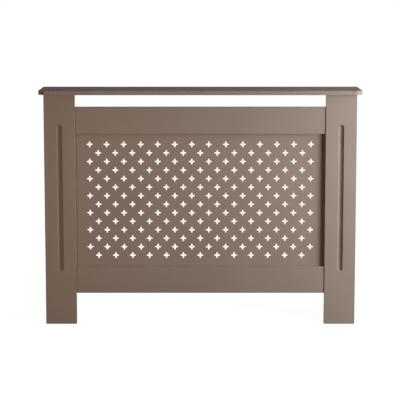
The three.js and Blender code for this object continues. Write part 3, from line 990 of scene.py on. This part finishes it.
def plated_steel():
    """Bright zinc plating: bluish, with a faint warm patchiness and fine scratches from the barrel."""
    material, output = new_material("zinc-plated steel")
    tree = material.node_tree
    place = add_node(tree, "ShaderNodeTexCoord").outputs["Object"]
    patches = noise(tree, place, STEEL_PATCHES, 3.0)
    scratches = noise(tree, place, STEEL_SCRATCHES, 2.0)
    metal = add_node(tree, "ShaderNodeBsdfPrincipled", {
        "Base Color": ramp(tree, patches, [(0.38, STEEL_COLOUR), (0.66, STEEL_COLOUR_WARM)]),
        "Metallic": 1.0,
        "Roughness": roughness_spots(tree, scratches, STEEL_ROUGHNESS),
        "Normal": bump(tree, scratches, 0.2, STEEL_SCRATCH_DEPTH),
    })
    tree.links.new(metal.outputs["BSDF"], output.inputs["Surface"])
    return material


STEEL = plated_steel()


def threaded(core, ridge, pitch, low, high):
    """The rings of a thread between two heights. It runs in and out over half a pitch."""
    count = round((high - low) / pitch * ROWS_PER_PITCH)
    rings = []
    for i in range(count + 1):
        z = low + (high - low) * i / count
        grown = min(1.0, (z - low) / pitch * 2, (high - z) / pitch * 2)
        rings.append((core, z, ridge * grown, pitch))
    return rings


def along_axes_tree():
    """Instances of one fixing on points. Each point's axis attribute is the way from head to tip."""
    tree, given, result = geometry_tree("fixings on their axes", {
        "Fixing": "Object", "Finish": "Material",
    })
    choice = given.outputs
    master = add_node(tree, "GeometryNodeObjectInfo", {"Object": choice["Fixing"], "As Instance": True})
    axis = add_node(
        tree, "GeometryNodeInputNamedAttribute", {"Name": "axis"}, data_type="FLOAT_VECTOR",
    ).outputs["Attribute"]
    turn = add_node(tree, "FunctionNodeAlignRotationToVector", {"Vector": axis}, axis="Z")
    fixings = placed(
        tree, choice["Geometry"], master.outputs["Geometry"], Rotation=turn.outputs["Rotation"],
    )
    end_tree(tree, fixings, choice["Finish"], result)
    return tree


ALONG_AXES = along_axes_tree()


def head_and_tip(node):
    """A fixing's head end and tip end. The head is at the inner end, the rear end or the lower end."""
    start, end = fixing_axis(node)[:2]
    if abs(end.x - start.x) > abs(end.y - start.y) + abs(end.z - start.z):
        return (start, end) if abs(start.x) < abs(end.x) else (end, start)
    return (end, start) if end.y > start.y else (start, end)


def place_fixings(name, nodes, master):
    """One mesh with the master fixing at each node's place.

    The master's head end lies at zero, and its tip is up Z.
    """
    spots = bmesh.new()
    ways = []
    for node in nodes:
        head, tip = head_and_tip(node)
        spots.verts.new(head)
        ways.extend((tip - head).normalized())
    fixings = working_object(name, spots)
    fixings.data.attributes.new("axis", "FLOAT_VECTOR", "POINT").data.foreach_set("vector", ways)
    run_tree(fixings, ALONG_AXES, {"Fixing": master, "Finish": STEEL})
    bpy.data.objects.remove(master)
    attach(fixings, "cabinet")
    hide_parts(*nodes)


bolts = [node for node in frame["nodes"] if node.endswith("_cam_bolt")]
head, tip = head_and_tip(bolts[0])
bolt_length = (tip - head).length
collar_end = bolt_length - BOLT_THREAD_LENGTH
thread_start = collar_end + FIXING_EDGE
thread_end = bolt_length - BOLT_TIP_LENGTH
bolt = turned("cam bolt", [
    (BOLT_HEAD_RADIUS - FIXING_EDGE, 0),
    (BOLT_HEAD_RADIUS, FIXING_EDGE),
    (BOLT_HEAD_RADIUS, BOLT_HEAD_LENGTH - BOLT_HEAD_CONE),
    (BOLT_NECK_RADIUS, BOLT_HEAD_LENGTH),
    (BOLT_NECK_RADIUS, collar_end - BOLT_COLLAR_LENGTH),
    (BOLT_COLLAR_RADIUS, collar_end - BOLT_COLLAR_LENGTH),
    (BOLT_COLLAR_RADIUS, collar_end),
    (BOLT_CORE_RADIUS, collar_end),
    *threaded(BOLT_CORE_RADIUS, BOLT_RIDGE, BOLT_PITCH, thread_start, thread_end),
    (BOLT_TIP_RADIUS, bolt_length),
], FIXING_STEPS)
cut(bolt, cross_recess(DRIVE_HALF_LENGTH, DRIVE_HALF_WIDTH, 0, -RECESS_DEPTH))
dress_fixing(bolt, STEEL)
place_fixings("cam_bolts", bolts, bolt)


# ---- Screws ----
# Small zinc-plated pan-head wood screws with a cross recess. Eight hold the grille panel to the backs
# of the rails, and two hold each wall bracket to its side board.

SCREW_HEAD_RADIUS = 0.0036
SCREW_HEAD_HEIGHT = 0.0022
SCREW_CROWN = (
    (0.30, 0.0), (0.62, 0.05), (0.83, 0.18), (0.96, 0.42), (1.0, 0.66), (1.0, 0.96), (0.97, 1.0),
)
SCREW_CORE_RADIUS = 0.00115
SCREW_RIDGE = 0.0006
SCREW_PITCH = 0.0013
SCREW_TIP_LENGTH = 0.0025
SCREW_TIP_RADIUS = SCREW_CORE_RADIUS / 8

screws = [node for node in frame["nodes"] if node.endswith("_screw")]
head, tip = head_and_tip(screws[0])
screw_length = (tip - head).length
thread_start = SCREW_HEAD_HEIGHT + FIXING_EDGE
thread_end = screw_length - SCREW_TIP_LENGTH
shank = SCREW_CORE_RADIUS + SCREW_RIDGE / 2
screw = turned("pan-head screw", [
    *[(SCREW_HEAD_RADIUS * out, SCREW_HEAD_HEIGHT * down) for out, down in SCREW_CROWN],
    (shank, SCREW_HEAD_HEIGHT),
    *threaded(SCREW_CORE_RADIUS, SCREW_RIDGE, SCREW_PITCH, thread_start, thread_end),
    (SCREW_TIP_RADIUS, screw_length),
], FIXING_STEPS)
cut(screw, cross_recess(DRIVE_HALF_LENGTH, DRIVE_HALF_WIDTH, 0, -RECESS_DEPTH))
dress_fixing(screw, STEEL)
place_fixings("pan_head_screws", screws, screw)


# ---- Wall brackets ----
# Zinc-plated steel angles, bent from 2 mm strip with round corners. One leg is screwed to the side
# board, and the other, drilled for two screws, lies against the wall.

BRACKET_THICKNESS = 0.0020
BRACKET_BEND = 0.0012
BRACKET_BEND_STEPS = 8
BRACKET_CORNER = 0.0040
BRACKET_CORNER_STEPS = 8
BRACKET_HOLES = (0.014, 0.030)
BRACKET_EDGE = 0.0002


def bend(centre, radius):
    """A quarter of a circle, clockwise from straight above its centre."""
    quarter = math.pi / 2
    angles = [quarter - quarter * i / BRACKET_BEND_STEPS for i in range(BRACKET_BEND_STEPS + 1)]
    return [(centre[0] + radius * math.cos(a), centre[1] + radius * math.sin(a)) for a in angles]


for hand, sign in (("left", -1), ("right", 1)):
    node = f"{hand}_wall_bracket"
    low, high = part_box(node)
    leg = high.y - low.y
    corner = Vector((high.x if sign > 0 else low.x, high.y, (low.z + high.z) / 2))
    outer = BRACKET_BEND + BRACKET_THICKNESS
    centre = (-outer, -outer)
    profile = [
        (-leg, 0),
        *bend(centre, outer),
        (0, -leg),
        (-BRACKET_THICKNESS, -leg),
        *reversed(bend(centre, BRACKET_BEND)),
        (-leg, -BRACKET_THICKNESS),
    ]
    outline = [(corner.x + sign * x, corner.y + y) for x, y in profile]
    strip = prism(f"{hand}_bracket", outline, low.z, high.z)
    rounded = bmesh.new()
    rounded.from_mesh(strip.data)
    free_corners = []
    for edge in rounded.edges:
        a, b = (end.co - corner for end in edge.verts)
        out = max(min(abs(a.x), abs(b.x)), min(abs(a.y), abs(b.y)))
        if out > leg - SAME_PLACE and abs(a.z - b.z) < SAME_PLACE:
            free_corners.append(edge)
    round_edges(rounded, free_corners, BRACKET_CORNER, BRACKET_CORNER_STEPS)
    rounded.to_mesh(strip.data)
    rounded.free()
    through = BRACKET_THICKNESS + DRILL_OVERRUN
    across = Vector((sign * through, 0, 0))
    back = Vector((0, through, 0))
    bores = []
    for inset in BRACKET_HOLES:
        side_hole = corner + Vector((0, -inset, 0))
        wall_hole = corner + Vector((-sign * inset, 0, 0))
        bores.append(rod("side hole", side_hole - across, side_hole + across, SCREW_HOLE_RADIUS))
        bores.append(rod("wall hole", wall_hole - back, wall_hole + back, SCREW_HOLE_RADIUS))
    cut(strip, bores)
    soften_rims(strip, BRACKET_EDGE)
    dress_fixing(strip, STEEL)
    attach(strip, "cabinet")
    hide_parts(node)


# ---- Studio ----
# A pale floor under a plain white surround, with the camera in front of the cabinet, a little above the
# shelf. Two soft lamps to the right model it, a weak warm one fills from the left, and two more light
# its back and the top of its shelf.

SHELF_TOP = cad_high.z
CAMERA_BEFORE_SHELF = 5.0
CAMERA_ABOVE_SHELF = 0.402
CAMERA_PITCH = math.radians(7.143)
CAMERA_SENSOR = 36.0
CAMERA_LENS = 131.74
CAMERA_SHIFT_X = -0.0008
CAMERA_SHIFT_Y = -0.11
LAMP_AIM = Vector((0.0, 0.0, 0.45))
KEY_PLACE = Vector((1.45, -1.05, 0.66))
KEY_SIZE = (0.7, 0.9)
KEY_WATTS = 34.6
KEY_COLOUR = (0.92, 0.99, 1.0)
SIDE_PLACE = Vector((1.30, -0.45, 1.05))
SIDE_SIZE = (0.6, 0.8)
SIDE_WATTS = 13.0
SIDE_COLOUR = (0.84, 0.90, 1.0)
FILL_PLACE = Vector((-0.70, -1.10, 0.52))
FILL_SIZE = (0.5, 0.5)
FILL_WATTS = 5.5
FILL_COLOUR = (1.0, 0.76, 0.60)
BACK_PLACE = Vector((-0.90, 2.20, 0.40))
BACK_SIZE = (1.8, 0.6)
BACK_WATTS = 80.0
BACK_COLOUR = (1.0, 1.0, 1.0)
TOP_PLACE = Vector((0.10, 0.50, 2.00))
TOP_SIZE = (1.0, 0.5)
TOP_WATTS = 2.1
TOP_COLOUR = (1.0, 0.84, 0.84)
AMBIENT_COLOUR = (0.044, 0.034, 0.031, 1)
FLOOR_SIZE = 14.0
FLOOR_DARK = 0.04
FLOOR_BRIGHT = 0.90
FLOOR_WHITE_NEAR = 1.20
SHADOW_SHARE = 0.25
SHADOW_REACH = 0.7
SHADOW_FADE = 1.6


def straight_view(tree):
    """1 for what the camera sees, straight or in a gloss or through glass, else 0."""
    rays = tree.nodes.new("ShaderNodeLightPath").outputs
    seen = maths(tree, "MAXIMUM", rays["Is Camera Ray"], rays["Is Glossy Ray"])
    return maths(tree, "MAXIMUM", seen, rays["Is Transmission Ray"])


def between(tree, share, start, end):
    """A value that goes from start to end as the share goes from 0 to 1."""
    node = add_node(tree, "ShaderNodeMapRange", {"Value": share, "To Min": start, "To Max": end})
    return node.outputs["Result"]


def pale_floor():
    """A dark floor to the lamps' bounced light, but to the camera a white one with a soft shadow."""
    material, output = new_material("pale studio floor")
    tree = material.node_tree
    seen = straight_view(tree)
    tone = between(tree, seen, FLOOR_DARK, FLOOR_BRIGHT)
    matt = add_node(tree, "ShaderNodeBsdfDiffuse", {"Color": tone})
    place = add_node(tree, "ShaderNodeTexCoord").outputs["Object"]
    away = add_node(tree, "ShaderNodeVectorMath", {0: place}, operation="LENGTH").outputs["Value"]
    far = add_node(tree, "ShaderNodeMapRange", {
        "Value": away, "From Min": SHADOW_REACH, "From Max": SHADOW_FADE,
    }).outputs["Result"]
    glow = between(tree, far, FLOOR_WHITE_NEAR, 1.0)
    white = add_node(tree, "ShaderNodeEmission", {"Color": grey(1), "Strength": glow})
    share = maths(tree, "MULTIPLY", seen, between(tree, far, 1 - SHADOW_SHARE, 1.0))
    both = add_node(tree, "ShaderNodeMixShader", {
        0: share, 1: matt.outputs["BSDF"], 2: white.outputs["Emission"],
    })
    tree.links.new(both.outputs["Shader"], output.inputs["Surface"])
    return material


ground = bmesh.new()
bmesh.ops.create_grid(ground, x_segments=1, y_segments=1, size=FLOOR_SIZE / 2)
floor = working_object("studio_floor", ground)
floor.data.materials.append(pale_floor())
floor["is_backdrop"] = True

world = bpy.data.worlds.new("plain surround")
world.use_nodes = True
world.node_tree.nodes.clear()
sky = ramp(world.node_tree, straight_view(world.node_tree), [(0.0, AMBIENT_COLOUR), (1.0, grey(1))])
surround = add_node(world.node_tree, "ShaderNodeBackground", {"Color": sky})
add_node(world.node_tree, "ShaderNodeOutputWorld", {"Surface": surround.outputs["Background"]})
bpy.context.scene.world = world


def soft_lamp(name, place, size, watts, colour):
    """A rectangular soft lamp turned to the middle of the cabinet. The camera doesn't see it."""
    lamp = bpy.data.objects.new(name, bpy.data.lights.new(name, "AREA"))
    lamp.data.shape = "RECTANGLE"
    lamp.data.size, lamp.data.size_y = size
    lamp.data.energy = watts
    lamp.data.color = colour
    lamp.location = place
    lamp.rotation_euler = (place - LAMP_AIM).to_track_quat("Z", "Y").to_euler()
    lamp.visible_camera = False
    bpy.context.scene.collection.objects.link(lamp)


soft_lamp("key lamp", KEY_PLACE, KEY_SIZE, KEY_WATTS, KEY_COLOUR)
soft_lamp("side lamp", SIDE_PLACE, SIDE_SIZE, SIDE_WATTS, SIDE_COLOUR)
soft_lamp("fill lamp", FILL_PLACE, FILL_SIZE, FILL_WATTS, FILL_COLOUR)
soft_lamp("back lamp", BACK_PLACE, BACK_SIZE, BACK_WATTS, BACK_COLOUR)
soft_lamp("top lamp", TOP_PLACE, TOP_SIZE, TOP_WATTS, TOP_COLOUR)

camera = bpy.data.objects.new("camera", bpy.data.cameras.new("camera"))
camera.data.sensor_width = CAMERA_SENSOR
camera.data.lens = CAMERA_LENS
camera.data.shift_x = CAMERA_SHIFT_X
camera.data.shift_y = CAMERA_SHIFT_Y
camera.location = (0, cad_low.y - CAMERA_BEFORE_SHELF, SHELF_TOP + CAMERA_ABOVE_SHELF)
camera.rotation_euler = (math.pi / 2 - CAMERA_PITCH, 0, 0)
bpy.context.scene.collection.objects.link(camera)
bpy.context.scene.camera = camera

bpy.context.scene.view_settings.view_transform = "Standard"

low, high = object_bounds()
